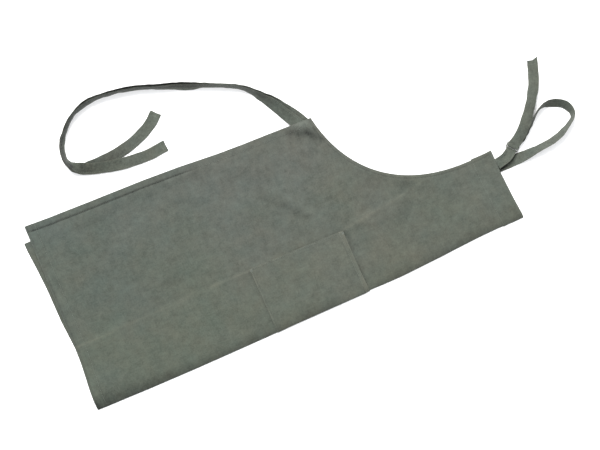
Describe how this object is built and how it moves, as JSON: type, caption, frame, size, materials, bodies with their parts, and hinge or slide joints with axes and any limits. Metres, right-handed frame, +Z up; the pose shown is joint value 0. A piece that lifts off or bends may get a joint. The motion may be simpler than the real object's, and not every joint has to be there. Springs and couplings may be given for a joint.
{
  "type": "smock apron",
  "caption": "Bib apron for painting, folded in half along its centre and laid flat, with a patch pocket, waist ties and an adjustable neck strap.",
  "frame": {"origin": "on the surface that the folded cloth lies on, under the middle of the cloth's bounding box", "axes": "+X along the fold from the hem to the bib, +Y from the fold to the side edges, +Z up through the two layers"},
  "size_m": [1.0364, 0.537, 0.0218],
  "materials": {
    "canvas": "matte plain-weave linen and cotton canvas",
    "canvas_trim": "matte canvas, turned and stitched double",
    "strap_canvas": "matte canvas, folded to a flat strap",
    "slider_metal": "satin grey lacquer"
  },
  "bodies": {
    "back_half": {"panel_back": "canvas", "bottom_hem_back": "canvas_trim", "side_hem_back": "canvas_trim", "armhole_hem_back": "canvas_trim", "bib_facing_back": "canvas_trim", "tie_patch_back": "canvas_trim", "pocket_back": "canvas", "pocket_mouth_hem_back": "canvas_trim", "waist_tie_back": "strap_canvas", "tie_end_hem_back": "canvas_trim", "neck_strap": "strap_canvas", "neck_strap_tail": "strap_canvas", "neck_strap_end_hem": "canvas_trim"},
    "front_half": {"panel_front": "canvas", "bottom_hem_front": "canvas_trim", "side_hem_front": "canvas_trim", "armhole_hem_front": "canvas_trim", "bib_facing_front": "canvas_trim", "tie_patch_front": "canvas_trim", "pocket_front": "canvas", "pocket_mouth_hem_front": "canvas_trim", "waist_tie_front": "strap_canvas", "tie_end_hem_front": "canvas_trim", "slider_tab": "strap_canvas", "strap_slider": "slider_metal"}
  },
  "joints": [
    {"name": "fold_open", "type": "hinge", "parent": "back_half", "child": "front_half", "pos_m": [0, -0.184, 0.004], "axis": [1, 0, 0], "range_deg": [0, 178]}
  ]
}
